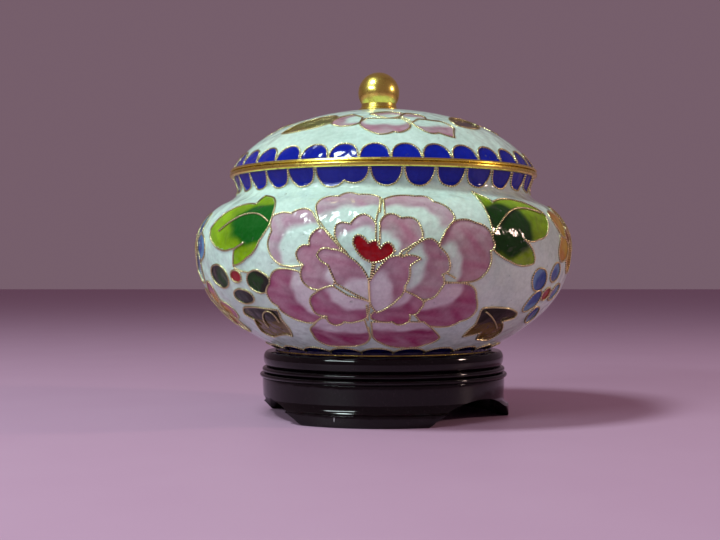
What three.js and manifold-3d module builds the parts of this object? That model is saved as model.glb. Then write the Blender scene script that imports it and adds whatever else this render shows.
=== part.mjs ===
// A round lidded cloisonne enamel box on its black lacquered stand.
// Millimetres, +Z up. The origin is on the floor, on the box's axis, and -Y is its front.
import * as THREE from "three";
import { mergeVertices } from "three/addons/utils/BufferGeometryUtils.js";
import Module from "manifold-3d";

const wasm = await Module();
wasm.setup();

// ---- driving sizes ----
const turnSteps = 48; // facets round each turned piece
const wall = 2; // enamelled copper: metal with glass on both faces

// the box below the lid
const bellyRadius = 56;
const bellyHeight = 49.8; // height of the widest place
const shoulderArc = 15.6; // radius of the round shoulder, seen from the side
const neckRadius = 44.9;
const neckFillet = 1.6; // small hollow where the shoulder turns up into the neck
const footRadius = 32.2;
const bodyBottom = 20.3;
const mouthHeight = 70.7; // top edge of the enamelled neck

// gilt rings
const rimRadius = 46;
const rimSeam = 72.2; // height where the lid's ring lies on the box's ring
const rimBevel = 0.35;
const collarRadius = 41.4; // upright edge inside the mouth that keeps the lid in place
const collarWall = 1;
const collarTop = 74.2;
const footRingWall = 1.3;
const footRingRadius = 31.7;

// lid: half of a flat ellipse, seen from the side
const lidBottom = 73.1;
const lidHalfWidth = 46.5;
const lidRise = 24.4;
const lidCentreHeight = 66.9;
const knobPadRadius = 8.2; // flat place on top of the lid

// knob
const ballRadius = 6.2;
const ballHeight = 96.7;
const knobNeckRadius = 5.15;
const knobFlangeRadius = 6.3;
const knobFlangeHeight = 1.1;
const knobOffset = -1.4; // soldered a little left of the lid's middle

// stand
const standTop = 19.4;
const seatRadius = 32.5; // sunk round seat that takes the foot ring
const seatHeight = 17.9;
const standBeads = [
  { low: 15.7, high: 19.3, waist: 34.9, bulge: 1.1 },
  { low: 11.2, high: 15.5, waist: 35.5, bulge: 1.1 },
];
const drumRadius = 36.3;
const coveTop = 6.2;
const toeTop = 3.3;
const toeRadius = 37.6;
const hollowRadius = 33.8;
const hollowHeight = 8;
const archHeight = 6.6;
const archFullness = 0.8; // 0.5 would be a half ellipse, more is leaner at the ends
// three hand-sawn openings between the feet: degrees from the front towards +X
const arches = [
  { middle: -74.5, width: 73 },
  { middle: 51, width: 62 },
  { middle: 170, width: 60 },
];

const radians = THREE.MathUtils.degToRad;
const point = (radius, height) => new THREE.Vector2(radius, height);

// ---- small helpers ----

// Points along an arc or ellipse about (cx, cy), from one angle to another, ends included.
function arc(cx, cy, rx, ry, from, to, steps) {
  const curve = new THREE.EllipseCurve(
    cx, cy, rx, ry, radians(from), radians(to), to < from, 0,
  );
  return curve.getPoints(steps);
}

// A closed or axis-to-axis profile of (radius, height) turned about Z.
function turned(profile, steps = turnSteps) {
  return new THREE.LatheGeometry(profile, steps).rotateX(Math.PI / 2);
}

function ring(profile, steps = turnSteps) {
  return turned([...profile, profile[0].clone()], steps);
}

function toSolid(geometry) {
  geometry.deleteAttribute("normal");
  geometry.deleteAttribute("uv");
  const merged = mergeVertices(geometry);
  return new wasm.Manifold(
    new wasm.Mesh({
      numProp: 3,
      vertProperties: merged.getAttribute("position").array,
      triVerts: new Uint32Array(merged.index.array),
    }),
  );
}

function toGeometry(solid) {
  const mesh = solid.getMesh();
  const geometry = new THREE.BufferGeometry();
  geometry.setAttribute(
    "position",
    new THREE.BufferAttribute(mesh.vertProperties, 3),
  );
  geometry.setIndex(new THREE.BufferAttribute(mesh.triVerts, 1));
  geometry.computeVertexNormals();
  return geometry;
}

// ---- profiles ----

// Half section of the box: foot, straight lower belly, round shoulder, fillet and neck.
// inset moves it inwards, for the inner face of the wall.
function bowlSection(inset, bellySteps, shoulderSteps) {
  const widest = point(bellyRadius - inset, bellyHeight);
  const foot = point(footRadius - inset * 0.75, bodyBottom + inset);
  const lowerBelly = new THREE.CubicBezierCurve(
    foot,
    point(foot.x + 14, foot.y + 6.8),
    point(widest.x, widest.y - 14.3),
    widest,
  );
  const arcCentre = bellyRadius - shoulderArc;
  const filletCentre = point(
    neckRadius + neckFillet,
    bellyHeight +
      Math.sqrt(
        (shoulderArc + neckFillet) ** 2 -
          (neckRadius + neckFillet - arcCentre) ** 2,
      ),
  );
  const meet = THREE.MathUtils.radToDeg(
    Math.atan2(filletCentre.y - bellyHeight, filletCentre.x - arcCentre),
  );
  const shoulder = arc(
    arcCentre, bellyHeight,
    shoulderArc - inset, shoulderArc - inset,
    0, meet, shoulderSteps,
  );
  const fillet = arc(
    filletCentre.x, filletCentre.y,
    neckFillet + inset, neckFillet + inset,
    meet - 180, -180, 2,
  );
  return [
    ...lowerBelly.getPoints(bellySteps),
    ...shoulder.slice(1),
    ...fillet.slice(1),
    point(neckRadius - inset, mouthHeight),
  ];
}

// Half section of the lid's dome from its edge up to the flat pad under the knob.
function lidSection(inset, steps) {
  const halfWidth = lidHalfWidth - inset;
  const rise = lidRise - inset;
  const edge = Math.asin((lidBottom - lidCentreHeight) / rise);
  const pad = Math.acos(knobPadRadius / halfWidth);
  const dome = arc(
    0, lidCentreHeight, halfWidth, rise,
    THREE.MathUtils.radToDeg(edge), THREE.MathUtils.radToDeg(pad), steps,
  );
  return [...dome, point(0, dome[dome.length - 1].y)];
}

// ---- pieces ----

const materials = {
  enamel: new THREE.MeshStandardMaterial({ color: 0xdfe9e2, roughness: 0.15 }),
  gilt: new THREE.MeshStandardMaterial({
    color: 0xd0a23c,
    roughness: 0.25,
    metalness: 1,
  }),
  lacquer: new THREE.MeshStandardMaterial({ color: 0x0d0809, roughness: 0.12 }),
};

function piece(name, geometry, material) {
  const mesh = new THREE.Mesh(geometry, materials[material]);
  mesh.name = name;
  return mesh;
}

function makeBowl() {
  const outside = bowlSection(0, 8, 6);
  const inside = bowlSection(wall, 6, 5).reverse();
  return turned([
    point(0, bodyBottom),
    ...outside,
    ...inside,
    point(0, bodyBottom + wall),
  ]);
}

function makeLid() {
  const outside = lidSection(0, 8);
  const inside = lidSection(wall, 7).reverse();
  return turned([...inside, ...outside]);
}

// The box's ring: a bevelled band over the neck's edge, with the collar standing inside it.
function makeMouthRing() {
  return ring([
    point(collarRadius - collarWall, mouthHeight),
    point(rimRadius - rimBevel, mouthHeight),
    point(rimRadius, mouthHeight + rimBevel),
    point(rimRadius, rimSeam - rimBevel),
    point(rimRadius - rimBevel, rimSeam),
    point(collarRadius, rimSeam),
    point(collarRadius, collarTop),
    point(collarRadius - collarWall, collarTop),
  ]);
}

function makeLidRing() {
  const inner = collarRadius + 0.5;
  return ring([
    point(inner, rimSeam),
    point(rimRadius - rimBevel, rimSeam),
    point(rimRadius, rimSeam + rimBevel),
    point(rimRadius - rimBevel, lidBottom),
    point(inner, lidBottom),
  ]);
}

function makeFootRing() {
  return ring([
    point(footRingRadius - footRingWall, seatHeight),
    point(footRingRadius, seatHeight),
    point(footRingRadius, bodyBottom),
    point(footRingRadius - footRingWall, bodyBottom),
  ]);
}

// A ball on a short neck with a small flange, all one casting.
function makeKnob() {
  const bottom = lidSection(0, 8).at(-1).y;
  const flangeTop = bottom + knobFlangeHeight;
  const neckAngle = THREE.MathUtils.radToDeg(
    Math.acos(knobNeckRadius / ballRadius),
  );
  return turned(
    [
      point(0, bottom),
      point(knobFlangeRadius, bottom),
      point(knobFlangeRadius, flangeTop - 0.4),
      point(knobNeckRadius + 0.3, flangeTop),
      ...arc(0, ballHeight, ballRadius, ballRadius, -neckAngle, 90, 10),
    ],
    32,
  );
}

function standSection() {
  const beads = standBeads.toReversed().flatMap((bead) => {
    const middle = (bead.low + bead.high) / 2;
    const half = (bead.high - bead.low) / 2;
    return arc(bead.waist, middle, bead.bulge, half, -90, 90, 4);
  });
  const cove = new THREE.QuadraticBezierCurve(
    point(toeRadius, toeTop),
    point(drumRadius - 0.1, toeTop + 0.3),
    point(drumRadius - 0.2, coveTop),
  );
  return [
    point(0, hollowHeight),
    point(hollowRadius, hollowHeight),
    point(hollowRadius, 0),
    point(toeRadius - 0.3, 0),
    point(toeRadius, 0.6),
    ...cove.getPoints(3),
    point(drumRadius, coveTop + 3),
    ...beads,
    point(seatRadius + 0.8, standTop),
    point(seatRadius, standTop),
    point(seatRadius, seatHeight),
    point(0, seatHeight),
  ];
}

// A prism under a low arch, to saw one opening through the stand's wall between two feet.
function archTool({ middle, width }) {
  const halfSpan = toeRadius * Math.sin(radians(width / 2));
  const archSteps = 12;
  // the arch goes from +X to -X, and the outline closes below the floor
  const outline = new THREE.Shape([
    point(-halfSpan, -archHeight),
    point(halfSpan, -archHeight),
  ]);
  for (let i = 0; i <= archSteps; i += 1) {
    const across = Math.cos((Math.PI * i) / archSteps);
    const height = archHeight * Math.pow(1 - across * across, archFullness);
    outline.lineTo(halfSpan * across, height);
  }
  const prism = new THREE.ExtrudeGeometry(outline, {
    depth: toeRadius,
    bevelEnabled: false,
  });
  // it stands upright, runs out along -Y from inside the hollow, and is turned to its place
  prism.rotateX(Math.PI / 2);
  prism.translate(0, -hollowRadius / 2, 0);
  prism.rotateZ(radians(middle));
  return toSolid(prism);
}

function makeStand() {
  let stand = toSolid(turned(standSection()));
  for (const arch of arches) stand = stand.subtract(archTool(arch));
  return toGeometry(stand);
}

// ---- the box ----

const box = new THREE.Group();
box.name = "cloisonne_box";

const lid = new THREE.Group();
const knob = piece("knob", makeKnob(), "gilt");
knob.position.x = knobOffset;
lid.add(
  piece("lid", makeLid(), "enamel"),
  piece("lid_ring", makeLidRing(), "gilt"),
  knob,
);

box.add(
  piece("stand", makeStand(), "lacquer"),
  piece("foot_ring", makeFootRing(), "gilt"),
  piece("bowl", makeBowl(), "enamel"),
  piece("mouth_ring", makeMouthRing(), "gilt"),
  lid,
);

export default box;
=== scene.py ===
# %% [markdown]
# # A cloisonne enamel box on its lacquered stand
#
# The real box is turned copper, covered with glass and ringed with gilt brass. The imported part
# gives the pieces' places and sizes. Here they get smooth skins and real finishes, in metres, in
# the same frame: +Z up, the front towards -Y, the origin on the floor.

import math

import bpy
import numpy as np
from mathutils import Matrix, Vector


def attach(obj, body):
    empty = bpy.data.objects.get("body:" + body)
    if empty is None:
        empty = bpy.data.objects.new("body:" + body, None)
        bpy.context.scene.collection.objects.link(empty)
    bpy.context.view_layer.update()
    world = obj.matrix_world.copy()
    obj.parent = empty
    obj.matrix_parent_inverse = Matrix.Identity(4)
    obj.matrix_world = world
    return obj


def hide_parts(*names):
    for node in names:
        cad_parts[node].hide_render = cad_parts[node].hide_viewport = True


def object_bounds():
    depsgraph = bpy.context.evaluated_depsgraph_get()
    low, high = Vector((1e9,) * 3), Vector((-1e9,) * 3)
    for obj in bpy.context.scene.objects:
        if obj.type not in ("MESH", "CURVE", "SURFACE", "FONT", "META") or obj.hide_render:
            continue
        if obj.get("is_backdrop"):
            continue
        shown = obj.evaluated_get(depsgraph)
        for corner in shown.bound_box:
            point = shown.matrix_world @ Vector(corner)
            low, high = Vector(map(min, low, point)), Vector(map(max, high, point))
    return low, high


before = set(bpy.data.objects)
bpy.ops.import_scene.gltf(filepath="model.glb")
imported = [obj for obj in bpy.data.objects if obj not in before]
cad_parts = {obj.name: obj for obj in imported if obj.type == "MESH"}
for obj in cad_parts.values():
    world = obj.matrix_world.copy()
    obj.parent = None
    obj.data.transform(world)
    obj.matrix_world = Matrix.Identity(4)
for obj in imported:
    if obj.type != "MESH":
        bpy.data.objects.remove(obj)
cad_low, cad_high = (list(corner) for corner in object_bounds())
MM = 0.001
print("CAD box in mm:", [round((b - a) / MM, 1) for a, b in zip(cad_low, cad_high)])

# %% [markdown]
# ## Profiles
#
# A spun or turned piece is known by half of its section, a list of (radius, height) points in
# millimetres, walked with the outside of the piece on the right hand. Curves are sampled finely,
# because the enamel's gloss shows every flat.


# %% Curves for the profiles
def arc(cx, cy, rx, ry, start, end, steps):
    """Points on an ellipse: centre + (rx cos t, ry sin t), t from start to end in degrees."""
    t = np.radians(np.linspace(start, end, steps + 1))
    return np.stack([cx + rx * np.cos(t), cy + ry * np.sin(t)], axis=1)


def bezier(points, steps):
    """A Bezier curve: each point weighs C(n, i) (1 - t)^(n - i) t^i along t from 0 to 1."""
    points = np.array(points, float)
    t = np.linspace(0, 1, steps + 1)[:, None]
    n = len(points) - 1
    return sum(math.comb(n, i) * (1 - t) ** (n - i) * t**i * p for i, p in enumerate(points))


def line(*points):
    """Corner points, joined by straight lines."""
    return np.array(points, float)


def joined(*parts):
    """One profile from several, with the points where two parts meet kept once."""
    rows = np.concatenate(parts)
    step = np.linalg.norm(np.diff(rows, axis=0), axis=1)
    return rows[np.concatenate([[True], step > 1e-6])]


# %% Rounded corners
EASED_FROM, EASE_STEPS = 20, 3


def eased(profile, closed, radius=0.12):
    """Each corner sharper than 20 degrees becomes a small curve between the points that lie
    radius away from it, or a third of the shorter side, whichever is less."""
    rows = []
    count = len(profile)
    for i, corner in enumerate(profile):
        if not closed and i in (0, count - 1):
            rows.append(corner[None])
            continue
        back = profile[i - 1] - corner
        on = profile[(i + 1) % count] - corner
        lengths = np.hypot(*back), np.hypot(*on)
        bend = np.degrees(np.arccos(np.clip(-(back @ on) / (lengths[0] * lengths[1]), -1, 1)))
        if bend < EASED_FROM:
            rows.append(corner[None])
            continue
        cut = min(radius, min(lengths) / 3)
        ends = corner + back / lengths[0] * cut, corner + on / lengths[1] * cut
        rows.append(bezier([ends[0], corner, ends[1]], EASE_STEPS))
    return np.concatenate(rows)


# %% [markdown]
# ## Turning a profile into a skin
#
# A lathe is a function of two parameters, the place along the profile and the angle round the
# axis. Where the profile reaches the axis, a fan of triangles closes it, so no hole is left there.


# %% Putting a mesh in the scene
def placed(name, points, faces):
    """A new object at the origin, from points in mm."""
    mesh = bpy.data.meshes.new(name)
    mesh.from_pydata((points * MM).tolist(), [], faces)
    mesh.update()
    made = bpy.data.objects.new(name, mesh)
    bpy.context.collection.objects.link(made)
    return made


def rings(ids):
    """Faces (i, j), (i, j + 1), (i + 1, j + 1), (i + 1, j) of a grid whose rows close round."""
    right = np.roll(ids, -1, axis=1)
    return np.stack([ids[:-1], right[:-1], right[1:], ids[1:]], axis=2).reshape(-1, 4).tolist()


def face_outwards(made):
    """Recalculates the normals of a closed mesh, so that they point out of it."""
    bpy.context.view_layer.objects.active = made
    made.select_set(True)
    bpy.ops.object.mode_set(mode="EDIT")
    bpy.ops.mesh.select_all(action="SELECT")
    bpy.ops.mesh.normals_make_consistent(inside=False)
    bpy.ops.object.mode_set(mode="OBJECT")
    made.select_set(False)


# %% The lathe
def turned(name, profile, around, closed=False, centre=0.0):
    """Point (i, j) = (r_i sin a_j + centre, -r_i cos a_j, z_i), with a_j once round the axis."""
    profile = np.asarray(profile, float)
    poles = [] if closed else [i for i in (0, len(profile) - 1) if profile[i, 0] < 1e-6]
    rows = np.array([i for i in range(len(profile)) if i not in poles])
    angle = np.arange(around) * 2 * np.pi / around
    r, z = profile[rows, 0][:, None], profile[rows, 1][:, None]
    grid = np.stack(
        [r * np.sin(angle) + centre, -r * np.cos(angle), z + 0 * angle], axis=2
    ).reshape(-1, 3)
    ids = np.arange(len(rows) * around).reshape(len(rows), around)
    if closed:
        ids = np.concatenate([ids, ids[:1]])
    faces = rings(ids)
    for pole in poles:
        tip = np.full(around, len(grid))
        grid = np.concatenate([grid, [[centre, 0, profile[pole, 1]]]])
        edge = ids[0] if pole == 0 else ids[-1]
        faces += np.stack([tip, edge, np.roll(edge, -1)], axis=1).tolist()
    return placed(name, grid, faces)


# %% What every piece needs
def dress(made, material):
    """Smooth shading, a finish, and the body of a piece."""
    mesh = made.data
    mesh.shade_smooth()
    mesh.materials.clear()
    mesh.materials.append(material)
    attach(made, "root")
    mesh.calc_loop_triangles()
    print(f"{made.name}: {len(mesh.loop_triangles)} triangles")


def settle(made, node, material):
    """Dresses a closed piece that stands for a CAD node. Edges over 40 degrees stay sharp."""
    face_outwards(made)
    dress(made, material)
    made.data.set_sharp_from_angle(angle=math.radians(40))
    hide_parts(node)


# %% [markdown]
# ## Shader sums written as Python
#
# A finish is mostly arithmetic on noise. The class below wraps a socket, so that `1 - mask * 0.3`
# adds its own Math nodes. Every other node comes from one method.


# %% Sockets that can be added and multiplied
class Wire:
    """One output socket of a material's node tree."""

    def __init__(self, tree, socket):
        self.tree, self.socket = tree, socket

    def node(self, kind, settings=None, out=0, **inputs):
        """Adds a node: its type, its settings, then values or links for its sockets, by name or,
        as in i0, by number."""
        made = self.tree.nodes.new(kind)
        for key, value in (settings or {}).items():
            setattr(made, key, value)
        for key, value in inputs.items():
            place = int(key[1:]) if key[0] == "i" and key[1:].isdigit() else key.replace("_", " ")
            if isinstance(value, Wire):
                self.tree.links.new(value.socket, made.inputs[place])
            else:
                made.inputs[place].default_value = value
        return Wire(self.tree, made.outputs[out])

    def maths(self, operation, a, b):
        return self.node("ShaderNodeMath", {"operation": operation}, i0=a, i1=b)

    def __add__(self, other):
        return self.maths("ADD", self, other)

    def __sub__(self, other):
        return self.maths("SUBTRACT", self, other)

    def __rsub__(self, other):
        return self.maths("SUBTRACT", other, self)

    def __mul__(self, other):
        return self.maths("MULTIPLY", self, other)

    __radd__, __rmul__ = __add__, __mul__

    def step(self, low, high):
        """0 below low, 1 above high, smooth between them."""
        settings = {"interpolation_type": "SMOOTHSTEP"}
        return self.node("ShaderNodeMapRange", settings, i0=self, i1=low, i2=high)

    def mix(self, a, b):
        """Colour a where this mask is 0, colour b where it is 1."""
        return self.node("ShaderNodeMix", {"data_type": "RGBA"}, out=2, i0=self, i6=a, i7=b)


# %% Starting a finish
def finish_named(name, **constants):
    """A new material, its shader, and Object coordinates. Sockets that don't vary over the
    surface are set directly here."""
    material = bpy.data.materials.new(name)
    material.use_nodes = True
    tree = material.node_tree
    shader = tree.nodes["Principled BSDF"]
    for key, value in constants.items():
        shader.inputs[key.replace("_", " ")].default_value = value
    return material, shader, Wire(tree, None).node("ShaderNodeTexCoord", out=3)


def noise(place, scale, detail=3.0, roughness=0.5):
    """Soft cloudy noise of about 1 / scale metres, from 0 to 1."""
    return place.node(
        "ShaderNodeTexNoise", Vector=place, Scale=scale, Detail=detail, Roughness=roughness
    )


def feed(shader, **links):
    """Links what varies to the shader's named sockets."""
    for key, wire in links.items():
        wire.tree.links.new(wire.socket, shader.inputs[key.replace("_", " ")])


def bump(height, distance):
    """Turns a height into a slope, where a height of 1 is that distance in metres."""
    return height.node("ShaderNodeBump", Height=height, Distance=distance, Strength=1.0)


# %% [markdown]
# ## Finishes
#
# Fired enamel is glass: its colour lies under a clear, slightly wavy skin, with a few pits left by
# gas. Gilt brass is browner where no fingers rub it. Lacquer is nearly black, very glossy, and a
# touch uneven from the brush.


# %% Milky enamel
enamel, shader, place = finish_named("milky_enamel", IOR=1.42, Specular_IOR_Level=0.42)
cloud = noise(place, 90, 4)
speck = noise(place, 700, 2).step(0.71, 0.78)
cells = place.node("ShaderNodeAttribute", {"attribute_name": "glass"}, out=0)
dull = place.node("ShaderNodeHueSaturation", Color=cells, Value=0.76, Saturation=1.15)
grain = noise(place, 900, 3, 0.7)
glass = (cloud.step(0.3, 0.7) * 0.55 + grain.step(0.35, 0.65) * 0.45).mix(dull, cells)
# a warm bloom lies here and there over the glass, where the copper has tinted it
bloom = noise(place, 24, 2).step(0.45, 0.75) * 0.7
tint = {"data_type": "RGBA", "blend_type": "MULTIPLY"}
glass = place.node("ShaderNodeMix", tint, out=2, i0=bloom, i6=glass, i7=(0.97, 0.88, 0.84, 1))
feed(
    shader,
    Base_Color=(speck * 0.4).mix(glass, (0.20, 0.22, 0.20, 1)),
    Roughness=0.05 + noise(place, 400) * 0.14,
    Normal=bump(noise(place, 130, 1) + noise(place, 380, 1) * 0.45 - speck * 0.2, 0.0008),
)

# %% Gilt brass
gilt, shader, place = finish_named("gilt_brass", Metallic=1.0)
patina = noise(place, 300, 5, 0.6).step(0.45, 0.75)
rubbed = noise(place, 1500, 2)
feed(
    shader,
    Base_Color=patina.mix((0.97, 0.82, 0.17, 1), (0.50, 0.34, 0.08, 1)),
    Roughness=0.18 + patina * 0.2 + rubbed * 0.08,
    Normal=bump(rubbed, 0.00003),
)

# %% Black lacquer
lacquer, shader, place = finish_named(
    "black_lacquer", Coat_Weight=0.08, Coat_Roughness=0.03, IOR=1.4, Specular_IOR_Level=0.36
)
brush = noise(place, 160, 3)
dust = noise(place, 2500, 2).step(0.62, 0.7)
# one upright nick in the front foot, 1.4 mm high, bares a thread of pale ground
kind = "ShaderNodeVectorMath"
spot = place.node(kind, {"operation": "SUBTRACT"}, i0=place, i1=(-0.0135, -0.0351, 0.0023))
spot = place.node(kind, {"operation": "MULTIPLY"}, i0=spot, i1=(7000, 300, 1400))
nick = 1 - place.node(kind, {"operation": "LENGTH"}, out=1, i0=spot).step(0.7, 1.0)
black = (dust * 0.25).mix((0.003, 0.0015, 0.002, 1), (0.05, 0.035, 0.045, 1))
feed(
    shader,
    Base_Color=nick.mix(black, (0.34, 0.32, 0.34, 1)),
    Roughness=0.05 + brush * 0.07,
    Normal=bump(brush, 0.00008),
)

# %% Gilt wire
# the wire is gilt last, so it is paler than the rings; painted shade darkens it in the grooves
# between its beads
gilt_wire, shader, place = finish_named("gilt_wire", Metallic=1.0)
groove = place.node("ShaderNodeAttribute", {"attribute_name": "groove"}, out=2)
# worn patches from noise, plus painted shade where the groove between two beads is deep
wear_and_groove_shade = noise(place, 500, 3).step(0.5, 0.8) * 0.35 + groove.step(0.2, 0.85)
feed(
    shader,
    Base_Color=wear_and_groove_shade.mix((0.97, 0.88, 0.46, 1), (0.045, 0.035, 0.018, 1)),
    Roughness=0.2 + wear_and_groove_shade * 0.25,
)
print("finishes:", [m.name for m in (enamel, gilt, lacquer, gilt_wire)])

# %% [markdown]
# ## The bowl
#
# A copper bowl is spun, then enamelled inside and out. Its section runs from the middle of the
# base out to the foot, up the lower belly, round the shoulder and into a short neck, and back down
# the inside, 2 mm within. One closed profile gives true walls.


# %% Bowl section
WALL = 2.0
BELLY, BELLY_HEIGHT = 56.0, 49.8
SHOULDER, SHOULDER_RISE, SHOULDER_TURN = 15.6, 14.8, 64
WAIST, WAIST_HEIGHT = 43.6, 66.9
NECK, MOUTH = 44.9, 70.7
FOOT, BOTTOM = 32.2, 20.3
# how far the lower belly's curve is pulled out and up at the foot, and down at the widest place
FOOT_PULL, BELLY_PULL = (14, 6.8), 14.3
LIP, LIP_WALL = 0.7, 0.45


def bowl_side(inset, steps):
    """Foot to mouth, moved in by inset: a cubic curve to the widest place, an elliptical shoulder
    for 64 degrees, a hollow that leaves it along its slope and ends upright at the waist, and the
    flared neck."""
    foot = (FOOT - inset * 0.75, BOTTOM + inset)
    wide = (BELLY - inset, BELLY_HEIGHT)
    out_of_foot = (foot[0] + FOOT_PULL[0], foot[1] + FOOT_PULL[1])
    lower = bezier([foot, out_of_foot, (wide[0], wide[1] - BELLY_PULL), wide], steps)
    rx, rz = SHOULDER - inset, SHOULDER_RISE - inset
    upper = arc(BELLY - SHOULDER, BELLY_HEIGHT, rx, rz, 0, SHOULDER_TURN, steps // 2 - 3)
    waist = WAIST - inset
    slope = rz / (rx * math.tan(math.radians(SHOULDER_TURN)))
    meet = (waist, upper[-1, 1] + (upper[-1, 0] - waist) * slope)
    hollow = bezier([upper[-1], meet, (waist, WAIST_HEIGHT)], max(steps // 6, 4))
    # the neck is straight, but the glass on it changes colour, so it is sampled as finely
    neck = bezier([hollow[-1], (NECK - inset, MOUTH)], max(steps // 6, 2))
    return joined(lower, upper, hollow, neck)


# a thin lip of glass hangs down round the foot ring
bowl_outside = joined(line((FOOT, BOTTOM - LIP)), bowl_side(0, 74))
section = joined(
    line((0, BOTTOM), (FOOT - LIP_WALL, BOTTOM), (FOOT - LIP_WALL, BOTTOM - LIP)),
    bowl_outside, bowl_side(WALL, 10)[::-1], line((0, BOTTOM + WALL)),
)
print("bowl section:", len(section), "points")

# %% [markdown]
# ## Cloisons
#
# A cloisonne worker bends wire into closed shapes, fixes them on the copper, and fills each with
# coloured glass. Peonies, leaves and rows of lappets are the trade's common stock. A wire is bent
# at a few corners, with a plain bow between two of them, so a petal here is a short list of
# corners, and the bow of each stretch. Lappets, berries and small round petals are one formula.
# Later cells lie over earlier ones and hide what is under them.


# %% A surface to draw on
class Skin:
    """A turned outside. A place on it is (azimuth in degrees, run in mm along the profile)."""

    def __init__(self, outside):
        self.outside = outside
        step = np.hypot(*np.diff(outside, axis=0).T)
        self.run = np.concatenate([[0], np.cumsum(step)])

    def run_at(self, height):
        """The run where the profile passes a height."""
        return float(np.interp(height, self.outside[:, 1], self.run))

    def radius(self, run):
        return np.interp(run, self.run, self.outside[:, 0])

    def height(self, run):
        return np.interp(run, self.run, self.outside[:, 1])

    def point(self, azimuth, run, lift):
        """The place in space, raised by lift mm along the outward normal, which is the slope of
        the profile over 0.6 mm, turned by a right angle."""
        d = 0.3
        dr = self.radius(run + d) - self.radius(run - d)
        dz = self.height(run + d) - self.height(run - d)
        size = np.hypot(dr, dz)
        r = self.radius(run) + lift * (dz / size)
        z = self.height(run) + lift * (-dr / size)
        a = np.radians(azimuth)
        return np.stack([r * np.sin(a), -r * np.cos(a), z], axis=-1)


# %% The cell
WIRE_STEP = 0.15  # mm between the points of a wire's outline


class Cell:
    """A closed shape round a centre. Its edge is at
    r(t) = (|cos t / long|^p + |sin t / wide|^p)^(-1/p) (1 + depth outer(t) (|cos(n t / 2)| - 0.6)),
    with t measured from the way it grows, n the number of lobes, and outer(t) going from 0 at its
    root to 1 at its tip. Its colour goes from glass to rim towards the tip."""

    def __init__(self, skin, azimuth, run, grows, long, wide, glass, rim=None, lobes=0,
                 depth=0.0, power=2.0, start=0.35):
        self.skin, self.azimuth, self.middle = skin, azimuth, run
        self.grows, self.long, self.wide = math.radians(grows), long, wide
        self.glass, self.rim = np.array(glass), np.array(rim if rim else glass)
        self.lobes, self.depth, self.power, self.start = lobes, depth, power, start

    def edge(self, t):
        body = np.abs(np.cos(t) / self.long) ** self.power
        body = (body + np.abs(np.sin(t) / self.wide) ** self.power) ** (-1 / self.power)
        outer = np.clip(0.5 + 0.9 * np.cos(t), 0, 1)
        return body * (1 + self.depth * outer * (np.abs(np.cos(self.lobes * t / 2)) - 0.6))

    def flat(self, azimuth, run):
        """(x, y) in mm from the middle, with x along the skin's own circle."""
        turn = (azimuth - self.azimuth + 180) % 360 - 180
        return np.radians(turn) * self.skin.radius(run), run - self.middle

    def local(self, azimuth, run):
        """Distance from the centre in mm, and the angle t."""
        x, y = self.flat(azimuth, run)
        t = (np.arctan2(x, y) - self.grows + np.pi) % (2 * np.pi) - np.pi
        return np.hypot(x, y), t

    def depth_in(self, azimuth, run):
        """Mm inside the edge, and negative outside it."""
        far, t = self.local(azimuth, run)
        return self.edge(t) - far

    def colour(self, azimuth, run):
        """Smooth mix along q = far / edge times (0.55 + 0.45 cos t), over 0.35 from start on."""
        far, t = self.local(azimuth, run)
        q = far / self.edge(t) * (0.55 + 0.45 * np.cos(t))
        wave = 0.07 * np.sin(2 * t + self.azimuth) + 0.05 * np.sin(3 * t + self.middle)
        w = np.clip((q + wave - self.start) / 0.35, 0, 1)[:, None]
        w = w * w * (3 - 2 * w)
        return self.glass * (1 - w) + self.rim * w

    def outline(self):
        """Points round the edge, evenly apart, as (azimuth, run)."""
        t = np.linspace(-np.pi, np.pi, 721)
        r = self.edge(t)
        x, y = r * np.sin(t + self.grows), r * np.cos(t + self.grows)
        run = self.middle + y
        azimuth = self.azimuth + np.degrees(x / self.skin.radius(run))
        apart = np.hypot(np.diff(x), np.diff(y))
        along = np.concatenate([[0], np.cumsum(apart)])
        even = np.arange(0, along[-1], WIRE_STEP)
        return np.interp(even, along, azimuth), np.interp(even, along, run)

    def outlines(self):
        """The whole edge, with all of it shown."""
        azimuth, run = self.outline()
        return [(azimuth, run, np.ones(len(run), bool))]


# %% Several shapes fused into one cell
class Fused:
    """The union of some cells of one colour: mm inside it is the most that any part gives."""

    def __init__(self, parts):
        self.parts = parts
        self.middle = sum(p.middle for p in parts) / len(parts)
        self.long = self.wide = max(max(p.long, p.wide) for p in parts)

    def depth_in(self, azimuth, run):
        return np.max([p.depth_in(azimuth, run) for p in self.parts], axis=0)

    def colour(self, azimuth, run):
        return self.parts[0].colour(azimuth, run)

    def outlines(self):
        """Each part's edge, shown where no other part covers it."""
        found = []
        for i, part in enumerate(self.parts):
            azimuth, run = part.outline()
            seen = np.ones(len(run), bool)
            for j, other in enumerate(self.parts):
                if i != j:
                    seen &= other.depth_in(azimuth, run) < 0
            found.append((azimuth, run, seen))
        return found


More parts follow.
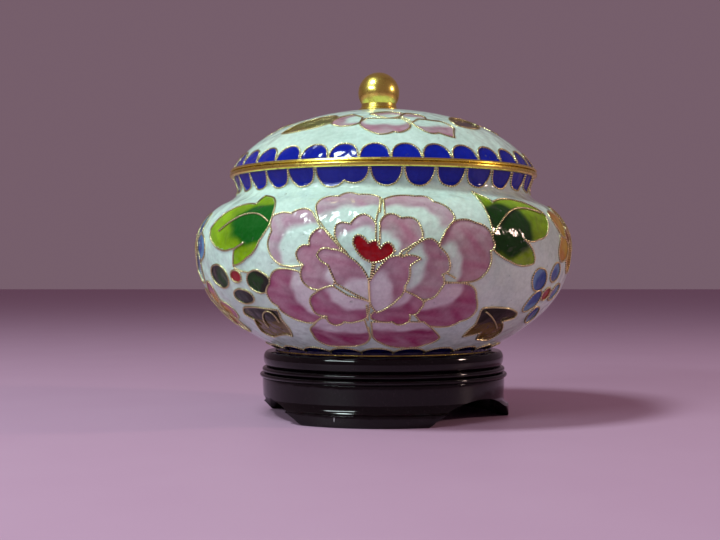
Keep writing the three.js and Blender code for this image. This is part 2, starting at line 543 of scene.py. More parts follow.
# %% A cell bent at a few corners
class Bent(Cell):
    """A closed wire through corners. The stretch from corner a to corner b is
    a + (b - a) t + 4 t (1 - t) bow |b - a| outward, for t from 0 to 1. Its glass lies in a pool,
    an ellipse (azimuth, height, two radii in mm) that may reach past the wire, and the rim colour
    outside it."""

    def __init__(self, skin, middle, flip, corners, glass, rim, pool, soft=2.0):
        self.skin, self.glass = skin, np.array(glass)
        self.rim, self.soft = np.array(rim), soft
        rows = np.array(corners, float)
        runs = np.array([skin.run_at(height) for height in rows[:, 1]])
        self.azimuth, self.middle = middle + flip * rows[:, 0].mean(), runs.mean()
        x, y = self.flat(middle + flip * rows[:, 0], runs)
        here = np.stack([x, y], 1)
        ahead = np.roll(here, -1, axis=0) - here
        turn = np.sign(np.sum(here[:, 0] * np.roll(y, -1) - np.roll(x, -1) * here[:, 1]))
        outward = turn * np.stack([ahead[:, 1], -ahead[:, 0]], 1)
        t = np.linspace(0, 1, 10, endpoint=False)[:, None]
        bow = rows[:, 2][:, None, None]
        line_points = here[:, None] + ahead[:, None] * t + 4 * t * (1 - t) * bow * outward[:, None]
        self.points = line_points.reshape(-1, 2)
        self.long = self.wide = np.abs(self.points).max()
        self.pool = *self.flat(middle + flip * pool[0], skin.run_at(pool[1])), *pool[2:]

    def depth_in(self, azimuth, run):
        """Mm to the nearest stretch of wire, negative outside: a place is inside if a line from it
        to the right crosses the wire an odd number of times."""
        x, y = self.flat(azimuth, run)
        if not len(x):
            return x
        a, b = self.points, np.roll(self.points, -1, axis=0)
        across, up = (b - a).T
        px, py = x[:, None] - a[:, 0], y[:, None] - a[:, 1]
        along = np.clip((px * across + py * up) / (across**2 + up**2), 0, 1)
        apart = np.hypot(px - along * across, py - along * up).min(axis=1)
        spans = (a[:, 1] > y[:, None]) != (b[:, 1] > y[:, None])
        crossed = spans & (py * across / np.where(up == 0, 1, up) > px)
        return np.where(crossed.sum(axis=1) % 2 == 1, apart, -apart)

    def colour(self, azimuth, run):
        """The glass of the pool gives way to the rim colour over soft mm. The wash is thin in
        places, and deepest just outside the pool."""
        x, y = self.flat(azimuth, run)
        stroke = 0.3 * np.sin(0.9 * x + self.middle) + 0.25 * np.sin(1.3 * y - 0.6 * x)
        px, py, rx, ry = self.pool
        far = (np.hypot((x - px) / rx, (y - py) / ry) - 1) * min(rx, ry) + stroke
        w = np.clip(far / self.soft + 0.5, 0, 1)
        bend = 1.7 * np.sin(0.37 * x + 0.61 * y + self.azimuth)
        thin = np.sin(0.55 * x + 0.21 * y + bend) + np.sin(0.83 * y - 0.34 * x - 1.3 * bend)
        w = (w * w * (3 - 2 * w) * (0.86 + 0.07 * thin))[:, None]
        deep = 1 - 0.14 * np.exp(-((far - self.soft * 0.6) ** 2))[:, None]
        return (self.glass * (1 - w) + self.rim * w) * deep

    def outline(self):
        """Points along the whole wire, evenly apart."""
        loop = np.concatenate([self.points, self.points[:1]])
        along = np.concatenate([[0], np.cumsum(np.hypot(*np.diff(loop, axis=0).T))])
        even = np.arange(0, along[-1], WIRE_STEP)
        run = self.middle + np.interp(even, along, loop[:, 1])
        turn = np.degrees(np.interp(even, along, loop[:, 0]) / self.skin.radius(run))
        return self.azimuth + turn, run


# %% Glass colours
MILK, BLUSH = (0.62, 0.80, 0.71), (0.68, 0.64, 0.66)
LILAC, ROSE, DEEP_ROSE = (0.50, 0.31, 0.39), (0.42, 0.20, 0.27), (0.36, 0.085, 0.18)
RED = (0.29, 0.006, 0.010)
COBALT, NAVY = (0.003, 0.014, 0.32), (0.006, 0.005, 0.07)
LEAF, DARK_LEAF = (0.010, 0.11, 0.014), (0.010, 0.045, 0.007)
LIME, OLIVE = (0.26, 0.45, 0.015), (0.10, 0.11, 0.015)
UMBER, TAN = (0.008, 0.007, 0.001), (0.155, 0.100, 0.016)
BLUE, PALE_BLUE = (0.025, 0.075, 0.27), (0.13, 0.27, 0.46)
SLATE = (0.022, 0.030, 0.028)
ORANGE, YELLOW, AMBER = (0.50, 0.16, 0.012), (0.52, 0.36, 0.05), (0.50, 0.25, 0.04)

# %% [markdown]
# ## The peony
#
# A peony in this style has a ring of wide outer petals, an inner ring that cups the heart, and a
# small red heart. Milky glass is pooled at the root of each petal, rose glass fills the crescent
# that is left, and the lower petals are deeper. A petal is its root colour, its rim colour, its
# pool, and its corners: (azimuth in whole degrees, height in half millimetres, bow of the stretch
# that follows). The petals go back to front.


# %% Petals round one middle
OUTER_PETALS = {
    "top_left": (MILK, LILAC, (-6, 54, 12, 7), (
        (-16, 54, 0.08), (-20, 60, 0.26), (-14, 62.5, 0.36), (-8, 63, 0.1), (-2, 62.5, 0.2),
        (-1, 60, 0), (-3, 50, 0), (-10, 48, 0))),
    "top_right": (MILK, LILAC, (5, 53, 11.5, 8), (
        (0, 47, 0), (0, 61.5, 0.14), (10, 62.5, 0.24), (15, 61, 0.14), (20, 57, 0.08),
        (15, 50, 0), (9, 47, 0))),
    "left_upper": (MILK, LILAC, (-21, 48.5, 8, 7), (
        (-22, 44.5, 0.06), (-29, 44.5, 0.14), (-33, 50, 0.05), (-32, 53.5, 0.12), (-33, 57.5, 0.12),
        (-27, 58, 0.24), (-20, 58, 0), (-17, 54, 0), (-18, 48, 0))),
    "right_upper": (MILK, ROSE, (17, 44, 4.5, 6), (
        (15, 50, 0.05), (19, 55.5, 0.14), (26, 55.5, 0.18), (31, 51, 0.3), (30, 48, 0.12),
        (30, 43.5, 0.14), (24, 40, 0.04), (14, 40.5, 0), (14, 47, 0))),
    "left_lower": (BLUSH, DEEP_ROSE, (-18, 38, 8.5, 9), (
        (-24, 29, 0.1), (-32, 31, 0.12), (-34, 33.5, 0.1), (-36, 35.5, 0.2), (-34, 39.5, 0.22),
        (-28, 43.5, 0.06), (-23, 42.5, 0), (-18, 38, 0), (-19, 31, 0))),
    "right_lower": (BLUSH, DEEP_ROSE, (14, 39.5, 8.5, 8), (
        (14, 37, 0), (16, 39.5, 0.05), (24, 39.5, 0.16), (28, 36, 0.05), (30, 32.5, 0.16),
        (26, 29.5, 0.14), (20, 28, 0.1), (12, 29.5, 0), (9, 32, 0))),
    "bottom_left": (BLUSH, DEEP_ROSE, (-12, 31, 14, 7.5), (
        (-24, 22.5, 0.16), (-27, 26, 0.2), (-24, 28.5, 0.08), (-20, 30.5, 0), (-6, 30, 0),
        (-5, 26, 0.12), (-9, 23, 0.1), (-16, 22.5, 0.1))),
    "bottom_right": (BLUSH, DEEP_ROSE, (6, 31, 14, 6.5), (
        (-4, 29.5, 0), (13, 29.5, 0.05), (22, 25, 0.14), (18, 23, 0.12), (9, 22, 0.1),
        (-1, 23.5, 0.12), (-4, 27, 0))),
}
INNER_PETALS = {
    "cup_left": (MILK, LILAC, (-5, 46.5, 8.5, 7.5), (
        (-4, 38.5, 0), (-10, 48, 0.06), (-13, 52, 0.42), (-9, 55, 0.42), (-2, 55, 0), (-2, 50, 0))),
    "cup_right": (MILK, ROSE, (0, 48, 4, 5), (
        (-4, 38.5, 0), (-1, 51, 0), (-1, 55.5, 0.32), (5, 56.5, 0.26), (10, 54, 0.12), (10, 51, 0),
        (5, 48, 0))),
    "heart": (RED, RED, (-3, 48, 9, 9), (
        (-8, 50, 0.45), (-5, 51.5, 0), (-4, 50, 0.45), (-1, 48.5, 0.5), (3, 48, 0.12),
        (-3, 45, 0.12))),
    "middle_left": (BLUSH, ROSE, (-12, 42, 4, 4), (
        (-23, 40.5, 0.14), (-22, 44.5, 0.16), (-24, 47.5, 0.22), (-20, 49.5, 0.14), (-19, 53, 0.3),
        (-15, 52.5, 0), (-10, 47.5, 0), (-14, 39, 0.08), (-18, 38, 0.16))),
    "middle_right": (MILK, ROSE, (6, 45, 5.5, 7.5), (
        (6, 37.5, 0), (6, 47.5, 0.04), (10, 50.5, 0.28), (15, 49, 0.12), (18, 44.5, 0.28),
        (16, 42, 0.2), (16, 38, 0.22), (11, 35.5, 0.04))),
    "under_left": (BLUSH, ROSE, (-6, 36.5, 6, 5), (
        (-18, 47, 0.24), (-14, 48.5, 0.1), (-9, 46.5, 0.1), (-4, 40.5, 0), (-4, 35, 0),
        (-13, 39.5, 0), (-15, 44.5, 0.1))),
    "low_left": (BLUSH, DEEP_ROSE, (-8, 38.5, 8, 7), (
        (-18, 31, 0.26), (-22, 33.5, 0.2), (-20, 37, 0.08), (-14, 39, 0), (-10, 36.5, 0.03),
        (-4, 35, 0.04), (-5, 31, 0.1), (-9, 29.5, 0.1), (-13, 29.5, 0.12), (-16, 28.5, 0.24))),
    "low_right": (BLUSH, DEEP_ROSE, (1, 38, 6.5, 6), (
        (-4, 31.5, 0), (-2, 33, 0), (5, 38, 0.04), (11, 35.5, 0.24), (11, 33, 0.26), (8, 31.5, 0.2),
        (7, 29, 0.24), (3, 29.5, 0.12), (-4, 30.5, 0))),
    "under_right": (BLUSH, ROSE, (-3, 37, 5, 6.5), (
        (-4, 40, 0.04), (1, 46, 0.12), (5, 46.5, 0.14), (10, 46, -0.05), (7, 44, 0.1),
        (6, 39, 0.1), (4, 35.5, 0.06), (-2, 32, 0.06), (-4, 35, 0))),
}


def peony(skin, middle, flip, leave_out):
    """One flower about an azimuth; flip -1 turns it left to right."""
    return [
        Bent(skin, middle, flip, corners, root, rim, pool)
        for name, (root, rim, pool, corners) in (OUTER_PETALS | INNER_PETALS).items()
        if name not in leave_out
    ]


# %% [markdown]
# ## Leaves, sprigs and side flowers
#
# The leaves are lobed, dark where the glass is pooled thick and light at the edge.


# %% Leaves
GREEN_LEAF_LEFT = (
    (-33, 55.5, 0.05), (-34, 60, 0.12), (-44, 63.5, 0), (-43, 61, 0.08), (-50, 61, 0.08),
    (-61, 55, 0.15), (-58, 51, 0.08), (-50, 48.5, 0), (-46, 49, 0.04), (-47, 44.5, 0.08),
    (-41, 46.5, 0.12), (-36, 51, 0.06))
GREEN_LEAF_RIGHT = (
    (31, 48.5, 0.03), (31, 55, 0.02), (31, 61, 0.02), (32, 64.5, 0.04), (36, 61.5, 0.08),
    (46, 62.5, 0.05), (56, 60, 0.1), (58, 58, 0.08), (55, 54, 0.1), (49, 51.5, 0.1),
    (42, 51.5, 0.1), (47, 47, 0.12), (47, 45, 0.1), (37, 45.5, 0.06))
BROWN_LEAF_LEFT = (
    (-42, 33, 0.03), (-50, 33, 0.12), (-53, 31, 0), (-50, 29.5, 0.04), (-54, 26, 0.15),
    (-50, 24.5, -0.03), (-40, 25.5, 0), (-38, 25, 0.1), (-36, 30, 0.05), (-35, 32.5, 0))
BROWN_LEAF_RIGHT = (
    (32, 33, 0.03), (40, 33, 0.05), (49, 31.5, 0.15), (50, 30, 0), (45, 29, 0.06),
    (51, 26, 0.12), (50, 23.5, 0.03), (41, 24, 0.03), (39, 26, 0.02), (32, 25, 0.06),
    (33, 28.5, 0), (32, 31.5, 0.1))


def petals(skin, rows, glass, rim):
    """Round petals, each (azimuth, height, way it grows, half length, half width)."""
    return [
        Cell(skin, azimuth, skin.run_at(height), grows, long, wide, glass, rim, 3, 0.08, start=0.2)
        for azimuth, height, grows, long, wide in rows
    ]


def blossom(skin, azimuth, height, size, glass, rim, heart):
    """Five round petals about a round heart, the first one 20 degrees from upright."""
    run = skin.run_at(height)
    cells = []
    for grows in range(20, 380, 72):
        t = math.radians(grows)
        run_k = run + size * math.cos(t)
        az = azimuth + math.degrees(size * math.sin(t) / skin.radius(run_k))
        cells.append(Cell(
            skin, az, run_k, grows, size * 0.8, size * 0.66, glass, rim, 3, 0.14, start=0.1
        ))
    return cells + [Cell(skin, azimuth, run, 0, size * 0.36, size * 0.36, heart)]


def moved(rows, middle, flip):
    """Rows for petals, moved to a middle and turned left to right if flip is -1."""
    return [(middle + flip * a, h, flip * grows, *sizes) for a, h, grows, *sizes in rows]


def sprig(skin, middle, flip):
    """A red berry with three plain leaves round it."""
    green = moved(((-56, 41.5, -80, 4.8, 3.4), (-38, 40, 95, 4.2, 3.3)), middle, flip)
    grey = moved(((-47, 36, 90, 4.2, 2.4),), middle, flip)
    berry = Cell(skin, middle - flip * 47, skin.run_at(41.5), 0, 1.8, 2.4, RED)
    return petals(skin, green, DARK_LEAF, UMBER) + petals(skin, grey, SLATE, UMBER) + [berry]


def all_round(count):
    """Azimuths at an even pitch round the box, with one a little left of the front."""
    return -3 + 360 / count * np.arange(count)


def lappets(skin, azimuths, run, grows, long, wide, glass):
    """A row of scallops along an edge, one at each azimuth."""
    return [Cell(skin, float(a), run, grows, long, wide, glass, power=2.1) for a in azimuths]


def side_panel(skin, middle, flip):
    """Leaves, sprig and blue flower to the left and right of a peony."""
    leaves = [
        Bent(skin, middle, flip, *leaf) for leaf in (
            (GREEN_LEAF_LEFT, LEAF, LIME, (-39, 56, 10, 6.5), 2.5),
            (GREEN_LEAF_RIGHT, DARK_LEAF, LIME, (37, 54.5, 9.8, 8.5), 3),
            (BROWN_LEAF_LEFT, UMBER, TAN, (-43, 31.5, 8, 3.6), 2),
            (BROWN_LEAF_RIGHT, UMBER, TAN, (40, 31, 8.5, 3.8), 2),
        )
    ]
    blue = moved((
        (52, 40.5, -60, 4, 3.2), (61, 42.5, -10, 2.8, 3.2), (54, 34.5, -150, 3.8, 3.1),
        (67, 37, 70, 3.4, 2.7), (62, 30.5, 130, 4.2, 2.6),
    ), middle, flip)
    heart = Cell(skin, middle + flip * 60, skin.run_at(36.5), 0, 2.1, 2.5, RED)
    flower = petals(skin, blue, BLUE, PALE_BLUE) + [heart]
    return leaves + sprig(skin, middle, flip) + flower


# %% The bowl's cells, back to front
bowl_skin = Skin(bowl_outside)
neck_run = bowl_skin.run[-1]
# in this row, a narrower pair left of the front takes up what was over
hung = np.concatenate([np.arange(1, 178, 11.6), np.arange(-30, -176, -10.9)])
bowl_cells = lappets(bowl_skin, hung, neck_run, 180, 5.3, 4.15, COBALT)
bowl_cells.append(Fused(
    lappets(bowl_skin, [-18.5], neck_run, 180, 5.7, 4.3, COBALT)
    + lappets(bowl_skin, [-10.5], neck_run, 180, 4.5, 4.3, COBALT)
))
bowl_cells += lappets(bowl_skin, all_round(23), 0.0, 0, 3.4 + LIP, 4.6, NAVY)
for middle, flip, leave_out in ((0, 1, ()), (180, -1, ("bottom_left", "bottom_right"))):
    bowl_cells += side_panel(bowl_skin, middle, flip)
    bowl_cells += peony(bowl_skin, middle, flip, leave_out)
for side, height, size, glass, rim, heart in (
    (-75, 50, 6, BLUE, PALE_BLUE, ORANGE), (-70, 32, 5.5, ORANGE, DEEP_ROSE, RED),
    (71, 53, 6, YELLOW, AMBER, RED), (106, 50, 6, BLUE, PALE_BLUE, ORANGE),
    (-104, 49, 6, YELLOW, AMBER, RED),
):
    bowl_cells += blossom(bowl_skin, side, height, size, glass, rim, heart)
print("bowl cells:", len(bowl_cells))


# %% [markdown]
# ## Filling the cells, and what the firing does
#
# The glass sinks a little below its wires as it melts, and climbs up against them. Each vertex of
# the outer skin looks up the topmost cell over it, takes that cell's colour, and moves inwards,
# more the further it is from the nearest edge. The colour is kept as an attribute for the finish
# to read.


# %% Enamelled skin
SINK, CREEP = 0.12, 0.5
KNOB_CLEAR = 9.0  # mm round the axis with no wire and no sunk glass


def enamelled(name, profile, skin, cells, around, node):
    """Lathe, then per vertex: colour of the last cell that holds it, and a sink of
    SINK (1 - exp(-(d / CREEP)^2)) mm, with d the distance to the nearest visible edge."""
    made = turned(name, profile, around)
    mesh = made.data
    co = np.empty(len(mesh.vertices) * 3)
    mesh.vertices.foreach_get("co", co)
    co = co.reshape(-1, 3) / MM
    azimuth = np.degrees(np.arctan2(co[:, 0], -co[:, 1]))
    radius = np.hypot(co[:, 0], co[:, 1])
    # nearest profile point tells the outer skin from the inner one
    gap = np.full(len(co), 1e9)
    run = np.zeros(len(co))
    for (r, z), s in zip(skin.outside, skin.run):
        d = np.hypot(radius - r, co[:, 2] - z)
        run = np.where(d < gap, s, run)
        gap = np.minimum(gap, d)
    on = gap < 0.01
    colours = np.tile(MILK, (len(co), 1))
    nearest = np.full(len(co), 9.0)
    for cell in cells:
        near = on & (np.abs(run - cell.middle) < 1.4 * max(cell.long, cell.wide) + 1)
        index = np.nonzero(near)[0]
        inside = cell.depth_in(azimuth[index], run[index])
        hit = index[inside > 0]
        colours[hit] = cell.colour(azimuth[hit], run[hit])
        nearest[hit] = inside[inside > 0]
        out = index[inside <= 0]
        nearest[out] = np.minimum(nearest[out], -inside[inside <= 0])
    sink = np.where(on, SINK * (1 - np.exp(-((nearest / CREEP) ** 2))), 0)
    sink[radius < KNOB_CLEAR] = 0
    inward = skin.point(azimuth, run, -1.0) - skin.point(azimuth, run, 0.0)
    co[on] += inward[on] * sink[on, None]
    mesh.vertices.foreach_set("co", (co * MM).ravel())
    layer = mesh.color_attributes.new("glass", "FLOAT_COLOR", "POINT")
    rgba = np.concatenate([colours, np.ones((len(co), 1))], axis=1)
    layer.data.foreach_set("color", rgba.ravel())
    mesh.update()
    settle(made, node, enamel)


enamelled("bowl_enamel", section, bowl_skin, bowl_cells, 600, "bowl")

# %% [markdown]
# ## Twisted wire
#
# The wire is two thin strands, twisted and rolled flatter, about 0.6 mm across, so each half turn
# shows as a tiny gilt bead. A tube whose rings swell and narrow, four rings to a bead, gives that
# look with few faces. Only what no later cell covers of an outline gets a wire.


# %% Visible stretches
FAR_APART = 40  # cells whose middles lie further apart than this along the run don't meet
SHORTEST = 6  # steps of an outline that a stretch has to be longer than


def stretches(cells, skin, low, high):
    """Runs of outline points outside all later cells and between two runs of the skin."""
    found = []
    for i, cell in enumerate(cells):
        for azimuth, run, shown in cell.outlines():
            seen = shown & (run > low) & (run < high)
            for later in cells[i + 1:]:
                if abs(later.middle - cell.middle) < FAR_APART:
                    seen &= later.depth_in(azimuth, run) < 0
            if seen.all():
                found.append((np.append(azimuth, azimuth[0]), np.append(run, run[0])))
                continue
            first = int(np.argmin(seen))
            azimuth, run, seen = (np.roll(a, -first) for a in (azimuth, run, seen))
            edges = np.diff(np.concatenate([[0], seen.astype(int), [0]]))
            for a, b in zip(np.nonzero(edges == 1)[0], np.nonzero(edges == -1)[0]):
                if b - a > SHORTEST:
                    found.append((azimuth[a:b], run[a:b]))
    return found


# %% Rope
# its radius, the pitch of its beads, and how far its middle stands off the skin, in mm
WIRE_RADIUS, BEAD, LIFT = 0.32, 0.7, 0.06


def rope(name, skin, paths, sides=6):
    """Ring k of each path = centre + rho (cos b normal + sin b across), with
    notch = (1 - cos(k 90 deg - 0.8 sin b)) / 2 and rho = WIRE_RADIUS (1 - 0.42 notch). So four
    rings make a bead, and the notches lean. The attribute groove keeps the notch."""
    points, faces, grooves, total = [], [], [], 0
    b = np.arange(sides) * 2 * np.pi / sides
    for azimuth, run in paths:
        centre = skin.point(azimuth, run, LIFT)
        outward = skin.point(azimuth, run, LIFT + 1) - centre
        along = np.concatenate([[0], np.cumsum(np.linalg.norm(np.diff(centre, axis=0), axis=1))])
        count = 4 * max(round(along[-1] / BEAD), 1) + 1
        even = np.linspace(0, along[-1], count)
        centre = np.stack([np.interp(even, along, centre[:, k]) for k in range(3)], 1)
        outward = np.stack([np.interp(even, along, outward[:, k]) for k in range(3)], 1)
        ahead = np.gradient(centre, axis=0)
        ahead /= np.linalg.norm(ahead, axis=1)[:, None]
        across = np.cross(ahead, outward)
        notch = (1 - np.cos(np.pi / 2 * np.arange(count)[:, None] - 0.8 * np.sin(b))) / 2
        rho = WIRE_RADIUS * (1 - 0.42 * notch)
        ring = centre[:, None] + rho[..., None] * (
            np.cos(b)[:, None] * outward[:, None] + np.sin(b)[:, None] * across[:, None]
        )
        ids = total + np.arange(count * sides).reshape(count, sides)
        faces += rings(ids) + [ids[0][::-1].tolist(), ids[-1].tolist()]
        points.append(ring.reshape(-1, 3))
        grooves.append(notch.ravel())
        total += count * sides
    made = placed(name, np.concatenate(points), faces)
    layer = made.data.attributes.new("groove", "FLOAT", "POINT")
    layer.data.foreach_set("value", np.concatenate(grooves))
    dress(made, gilt_wire)


# %% [markdown]
# Loose wires draw the veins of the leaves, and join the petals where the outlines would leave a
# wide field of glass, which could crack. They are laid last, by places in whole degrees and half
# millimetres.

# %% The bowl's wires
def loose_wire(skin, middle, flip, places):
    """A smooth wire by a few (azimuth, height) places: the polynomial of degree 3, or less where
    there are fewer places, that comes nearest to them, with t in even steps between them."""
    rows = np.array(places, float)
    rows[:, 1] = [skin.run_at(height) for height in rows[:, 1]]
    knots = np.arange(len(rows))
    t = np.linspace(0, knots[-1], 40 * len(rows))
    azimuth, run = (np.polyval(c, t) for c in np.polyfit(knots, rows, min(knots[-1], 3)).T)
    return middle + flip * azimuth, run


VEINS = (
    ((-34, 56), (-42, 58.5), (-49, 57), (-55, 54)), ((-46, 49), (-42, 50.5)),
    ((31, 52.5), (36, 56.5), (41, 59.5), (48, 60), (56, 59)), ((-41, 42.5), (-46, 43.5), (-47, 45)),
    ((-46, 27.5), (-43, 31), (-39, 32), (-38, 29)), ((46, 27), (39, 30), (34, 32)),
)
JOINTS = (
    ((-4, 41), (-4, 37)), ((-5, 34), (-5, 30)), ((-5, 28), (-5, 25)), ((17, 42.5), (20, 41)),
    ((-1, 58), (-1, 62)),
)
loose = [loose_wire(bowl_skin, 0, 1, places) for places in VEINS + JOINTS]
loose += [loose_wire(bowl_skin, 180, -1, places) for places in VEINS]
EDGE_GAP, MOUTH_GAP = 0.3, 0.2  # mm with no wire, at the lower edge and at the mouth
paths = stretches(bowl_cells, bowl_skin, EDGE_GAP, neck_run - MOUTH_GAP) + loose
turns = [abs((azimuth.mean() + 180) % 360 - 180) for azimuth, run in paths]
rope("bowl_wires_front", bowl_skin, [p for p, turn in zip(paths, turns) if turn < 90])
rope("bowl_wires_back", bowl_skin, [p for p, turn in zip(paths, turns) if turn >= 90], sides=5)

# %% [markdown]
# ## The lid
#
# The dome is the top of a flat ellipse, with a level pad for the knob, and 2 mm smaller inside.

# %% Lid section
LID_BOTTOM, LID_HALF, LID_RISE, LID_CENTRE, PAD = 73.1, 46.5, 24.4, 66.9, 8.2


def dome(inset, steps):
    """An ellipse arc from the lid's edge to the pad, then level in to the axis."""
    rx, ry = LID_HALF - inset, LID_RISE - inset
    low = math.degrees(math.asin((LID_BOTTOM - LID_CENTRE) / ry))
    high = math.degrees(math.acos(PAD / rx))
    curve = arc(0, LID_CENTRE, rx, ry, low, high, steps)
    return joined(curve, line((0, curve[-1, 1])))


lid_outside = dome(0, 84)
lid_section = joined(dome(WALL, 12)[::-1], lid_outside)
pad_height = lid_outside[-1, 1]
print("knob pad at", round(pad_height, 2), "mm")

# %% The lid's cells
class Dome(Skin):
    """The lid's skin, where the helpers are given a radius instead of a height."""

    def run_at(self, radius):
        """The run where the dome has this radius, counted from the edge up."""
        return float(np.interp(-radius, -self.outside[:, 0], self.run))


dome_skin = Dome(lid_outside)
# the pool and the corners use the radius instead of the height, back to front
LID_PETALS = (
    (OLIVE, TAN, (-36, 32, 9, 2.5), (
        (-51, 37, 0.06), (-38, 36.5, 0.1), (-24, 32.5, 0.12), (-31, 27, 0.1), (-42, 29, 0.12))),
    (UMBER, TAN, (49, 31, 6, 2), (
        (37, 34, 0.1), (50, 34.5, 0.1), (60, 31, 0.12), (53, 27, 0.1), (42, 28, 0.1))),
    (MILK, ROSE, (2, 29, 6, 2.5), (
        (-8, 27, 0.1), (-1, 25, 0.2), (8, 25, 0.2), (13, 28, 0.1), (2, 31, 0))),
    (MILK, ROSE, (14, 31, 4, 3), (
        (9, 29, 0), (13, 26, 0.2), (21, 27, 0.2), (22, 31, 0), (14, 34, 0))),
    (MILK, ROSE, (-12, 31, 4, 3), (
        (-26, 32, 0.2), (-22, 35, 0.14), (-16, 35.5, 0.14), (-11, 34, 0), (-11, 30, 0),
        (-18, 27, 0.15))),
    (MILK, ROSE, (20, 32, 7.5, 4), (
        (13, 34, 0.06), (17, 38, 0.2), (23, 38.5, 0.06), (29, 40, -0.05), (33, 36, 0.12),
        (29, 32, 0), (18, 31, 0))),
    (MILK, ROSE, (1, 31.5, 7.5, 3.8), (
        (-11, 33, 0.12), (-9, 36.5, 0.06), (-2, 39.5, 0.12), (4, 38.5, 0.2), (9, 38, 0.14),
        (12, 35, 0.05), (9, 31, 0), (-9, 31, 0))),
)
lid_cells = lappets(dome_skin, all_round(33), 0.0, 0, 4.8, 4.0, COBALT)
for middle, flip in ((0, 1), (180, -1)):
    for glass, rim, pool, corners in LID_PETALS:
        lid_cells.append(Bent(dome_skin, middle, flip, corners, glass, rim, pool))
for side in (-90, 90):
    lid_cells += blossom(dome_skin, side, 30, 4, BLUE, PALE_BLUE, RED)
enamelled("lid_enamel", lid_section, dome_skin, lid_cells, 560, "lid")
paths = stretches(lid_cells, dome_skin, EDGE_GAP, dome_skin.run_at(KNOB_CLEAR))
rope("lid_wires", dome_skin, paths)

# %% [markdown]
# ## Gilt rings
#
# One on the bowl's neck, with an upright collar that keeps the lid in place, one round the lid's
# edge, and the foot ring. Their corners are eased by about a tenth of a millimetre, because a
# polished edge always catches a thin line of light.

# %% Ring sections
RIM, SEAM, BEVEL = 46.0, 72.2, 0.35
COLLAR, COLLAR_WALL, COLLAR_TOP, PLAY = 41.4, 1.0, 74.2, 0.5
# the two rings touch inside, and a narrow dark slot runs round between their outer edges
SLOT, SLOT_DEPTH = 0.1, 1.2
mouth_section = line(
    (COLLAR - COLLAR_WALL, MOUTH), (RIM - BEVEL, MOUTH), (RIM, MOUTH + BEVEL),
    (RIM, SEAM - BEVEL), (RIM - BEVEL, SEAM - SLOT), (RIM - SLOT_DEPTH, SEAM - SLOT),
    (RIM - SLOT_DEPTH, SEAM), (COLLAR, SEAM), (COLLAR, COLLAR_TOP),
    (COLLAR - COLLAR_WALL, COLLAR_TOP),
)
lid_ring_section = line(
    (COLLAR + PLAY, SEAM), (RIM - SLOT_DEPTH, SEAM), (RIM - SLOT_DEPTH, SEAM + SLOT),
    (RIM - BEVEL, SEAM + SLOT), (RIM, SEAM + BEVEL), (RIM - BEVEL, LID_BOTTOM),
    (COLLAR + PLAY, LID_BOTTOM),
)
SEAT_HEIGHT = 17.9
FOOT_RING, FOOT_RING_INSIDE = 31.7, 30.4
foot_section = line(
    (FOOT_RING_INSIDE, SEAT_HEIGHT), (FOOT_RING, SEAT_HEIGHT), (FOOT_RING, BOTTOM),
    (FOOT_RING_INSIDE, BOTTOM),
)
for name, ring in (
    ("mouth_ring", mouth_section), ("lid_ring", lid_ring_section), ("foot_ring", foot_section)
):
    made = turned(f"{name}_gilt", eased(ring, True), 360, closed=True)
    settle(made, name, gilt)

# %% [markdown]
# ## The knob
#
# One casting: a ball on a short neck with a small flange, soldered a little left of the middle.

# %% Knob section
BALL, BALL_HEIGHT, KNOB_NECK, KNOB_SHIFT = 6.2, 96.7, 5.15, -1.4
FLANGE, FLANGE_EDGE, FLANGE_TOP = 6.3, 0.7, 1.1
neck_angle = math.degrees(math.acos(KNOB_NECK / BALL))
knob_section = joined(
    line((0, pad_height), (FLANGE, pad_height), (FLANGE, pad_height + FLANGE_EDGE)),
    line((KNOB_NECK + 0.3, pad_height + FLANGE_TOP)),
    arc(0, BALL_HEIGHT, BALL, BALL, -neck_angle, 90, 48),
)
knob_section[-1, 0] = 0  # the cosine of 90 degrees isn't quite 0
knob = turned("knob_gilt", eased(knob_section, False), 128, centre=KNOB_SHIFT)
settle(knob, "knob", gilt)

# %% [markdown]
# ## The stand
#
# The stand is turned, lacquered, and sawn through its wall in three places, which leaves three
# feet. The saw is an arch-shaped prism, taken away with a Boolean modifier.

# %% Stand section
SEAT, TOP, DRUM, TOE, HOLLOW = 32.5, 19.4, 36.3, 37.6, 33.8
TOE_TOP, COVE_TOP, HOLLOW_HEIGHT, DRUM_TOP = 3.3, 6.2, 8.0, 11.5
# three turned beads, from the lowest up: waist radius, height of the middle, bulge, half height
beads = [
    arc(waist, middle, bulge, half, -90, 90, 24)
    for waist, middle, bulge, half in (
        (36.3, 12.25, 0.8, 0.65), (35.4, 13.85, 1.0, 0.85), (34.8, 17.05, 1.2, 2.25),
    )
]
cove = bezier([(TOE, TOE_TOP), (DRUM - 0.1, TOE_TOP + 0.3), (DRUM - 0.2, COVE_TOP)], 16)
stand_section = joined(
    line((0, HOLLOW_HEIGHT), (HOLLOW, HOLLOW_HEIGHT), (HOLLOW, 0), (TOE - 0.3, 0), (TOE, 0.6)),
    cove,
    line((DRUM, COVE_TOP + 3), (DRUM, DRUM_TOP - 0.1), (DRUM - 0.2, DRUM_TOP)),
    *beads,
    line((SEAT + 0.8, TOP), (SEAT, TOP), (SEAT, SEAT_HEIGHT), (0, SEAT_HEIGHT)),
)
stand = turned("stand_lacquer", eased(stand_section, False, 0.2), 288)


# %% Sawing the arches
# the middle of each arch, and its width, in degrees round the axis
ARCHES = ((-74.5, 73), (51, 62), (170, 60))
ARCH_HEIGHT, ARCH_FULLNESS = 6.6, 0.8


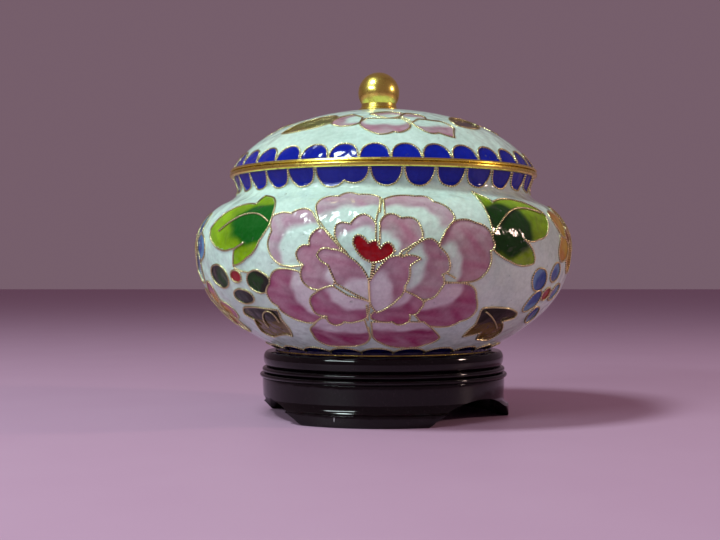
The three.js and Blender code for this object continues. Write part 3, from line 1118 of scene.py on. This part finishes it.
def arch_saw(middle, width):
    """A prism along -Y, turned to its place. Its outline is height = ARCH_HEIGHT
    (1 - u^2)^ARCH_FULLNESS, with u from -1 to 1 across the half span TOE sin(width / 2), closed
    below the floor."""
    span = TOE * math.sin(math.radians(width / 2))
    u = np.cos(np.linspace(0, np.pi, 49))
    rise = ARCH_HEIGHT * np.clip(1 - u * u, 0, 1) ** ARCH_FULLNESS
    below = [[-span, -ARCH_HEIGHT], [span, -ARCH_HEIGHT]]
    outline = np.concatenate([below, np.stack([span * u, rise], 1)])
    ends = [np.insert(outline, 1, -y, axis=1) for y in (HOLLOW / 2, HOLLOW / 2 + TOE)]
    c, s = math.cos(math.radians(middle)), math.sin(math.radians(middle))
    points = np.concatenate(ends) @ np.array([[c, s, 0], [-s, c, 0], [0, 0, 1]])
    near, far = np.arange(len(points)).reshape(2, -1)
    saw = placed("arch_saw", points, rings(np.stack([near, far])) + [near.tolist(), far.tolist()])
    face_outwards(saw)
    return saw


for middle, width in ARCHES:
    saw = arch_saw(middle, width)
    cut = stand.modifiers.new("sawn_arch", "BOOLEAN")
    cut.operation, cut.solver, cut.object = "DIFFERENCE", "EXACT", saw
    bpy.context.view_layer.objects.active = stand
    bpy.ops.object.modifier_apply(modifier=cut.name)
    bpy.data.objects.remove(saw)
settle(stand, "stand", lacquer)

# %% [markdown]
# ## Floor, light and camera
#
# The floor is plain, in a light mauve that the glass and the gilt reflect. A square cool softbox
# stands high at the left. A wide low strip, nearer to the front, acts as a window: its light gets
# under the belly, so the stand has highlights too. A warm softbox stands at the right. All three
# have a small area, because the wavy glass breaks a small bright light into glints.

# %% Floor and sky
half = 3000
corners = line((-half, -half, 0), (half, -half, 0), (half, half, 0), (-half, half, 0))
floor = placed("floor", corners, [(0, 1, 2, 3)])
pale, shader, place = finish_named("pale_floor", Roughness=0.5)
feed(shader, Base_Color=noise(place, 30).mix((0.50, 0.30, 0.44, 1), (0.53, 0.33, 0.47, 1)))
floor.data.materials.append(pale)
floor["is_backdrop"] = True

world = bpy.data.worlds.new("studio")
bpy.context.scene.world = world
world.use_nodes = True
sky = world.node_tree.nodes["Background"].inputs
sky["Color"].default_value, sky["Strength"].default_value = (1.0, 0.63, 0.82, 1), 0.18
bpy.context.scene.view_settings.view_transform = "Standard"


# %% Softboxes
AIM = 0.055  # height on the axis that the softboxes face, in metres


def softbox(name, azimuth, height, distance, size, power, colour):
    """An area light, (width, height) in metres, at (d sin a, -d cos a, h) and facing the box."""
    data = bpy.data.lights.new(name, "AREA")
    data.shape, (data.size, data.size_y) = "RECTANGLE", size
    data.energy, data.color = power, colour
    lamp = bpy.data.objects.new(name, data)
    a = math.radians(azimuth)
    lamp.location = (distance * math.sin(a), -distance * math.cos(a), height)
    aim = lamp.location.copy()
    aim.z -= AIM
    lamp.rotation_euler = aim.to_track_quat("Z", "Y").to_euler()
    bpy.context.collection.objects.link(lamp)


softbox("key", -52, 0.70, 0.45, (0.15, 0.15), 4.7, (0.82, 1.0, 0.98))
softbox("window", -43, 0.42, 0.75, (0.40, 0.06), 2.6, (0.84, 1.0, 1.0))
softbox("side", 81, 0.30, 0.65, (0.06, 0.05), 1.2, (1.0, 0.72, 0.62))

# %% Camera
EYE, AWAY = 42.1, 368.0
camera_data = bpy.data.cameras.new("camera")
camera_data.sensor_width, camera_data.lens = 36.0, 60.95
camera_data.shift_x, camera_data.shift_y = -0.0326, 0.0056
camera_data.clip_start, camera_data.clip_end = 0.01, 20
camera = bpy.data.objects.new("camera", camera_data)
camera.location = (0, -AWAY * MM, EYE * MM)
camera.rotation_euler = (math.radians(90), 0, 0)
bpy.context.collection.objects.link(camera)
bpy.context.scene.camera = camera

# %% Measure and finish
low, high = (list(corner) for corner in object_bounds())
print("visual box in mm:", [round((b - a) / MM, 2) for a, b in zip(low, high)])
